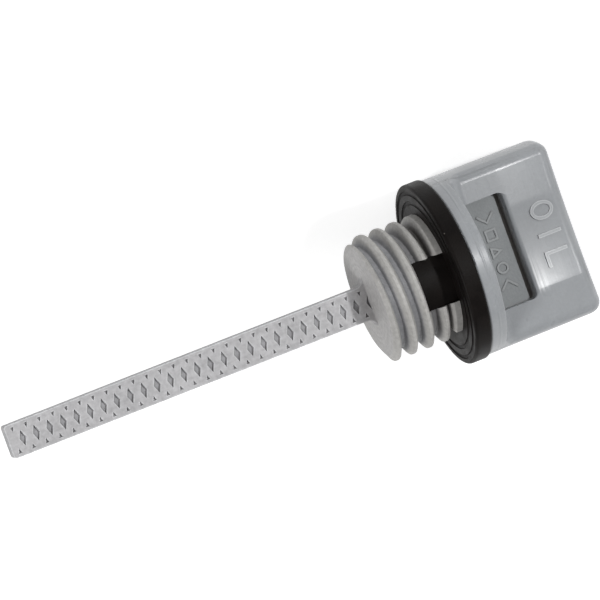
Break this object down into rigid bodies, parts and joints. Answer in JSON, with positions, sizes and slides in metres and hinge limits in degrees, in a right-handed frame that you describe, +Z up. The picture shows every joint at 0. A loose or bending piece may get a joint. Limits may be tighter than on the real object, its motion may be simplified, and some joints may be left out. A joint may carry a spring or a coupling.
{
  "type": "engine oil dipstick",
  "caption": "Screw-in oil filler cap of a small engine with a wing handle, a coarse thread, a rubber packing and a flat dipstick blade with a lattice that holds oil.",
  "frame": {"origin": "bottom centre of the bounding box, on the surface the part lies on", "axes": "+Z up, +X towards the handle along the ground, the blade points up towards -X at 30.95 degrees, and the lettered face is on top"},
  "size_m": [0.09, 0.0318, 0.0573],
  "materials": {
    "grey_nylon": "moulded polyamide, satin on the handle and flat on the thread and blade",
    "black_rubber": "moulded nitrile rubber, dull with a faint sheen"
  },
  "bodies": {
    "root": {"dipstick_body": "grey_nylon", "seal_ring": "black_rubber"}
  },
  "joints": []
}
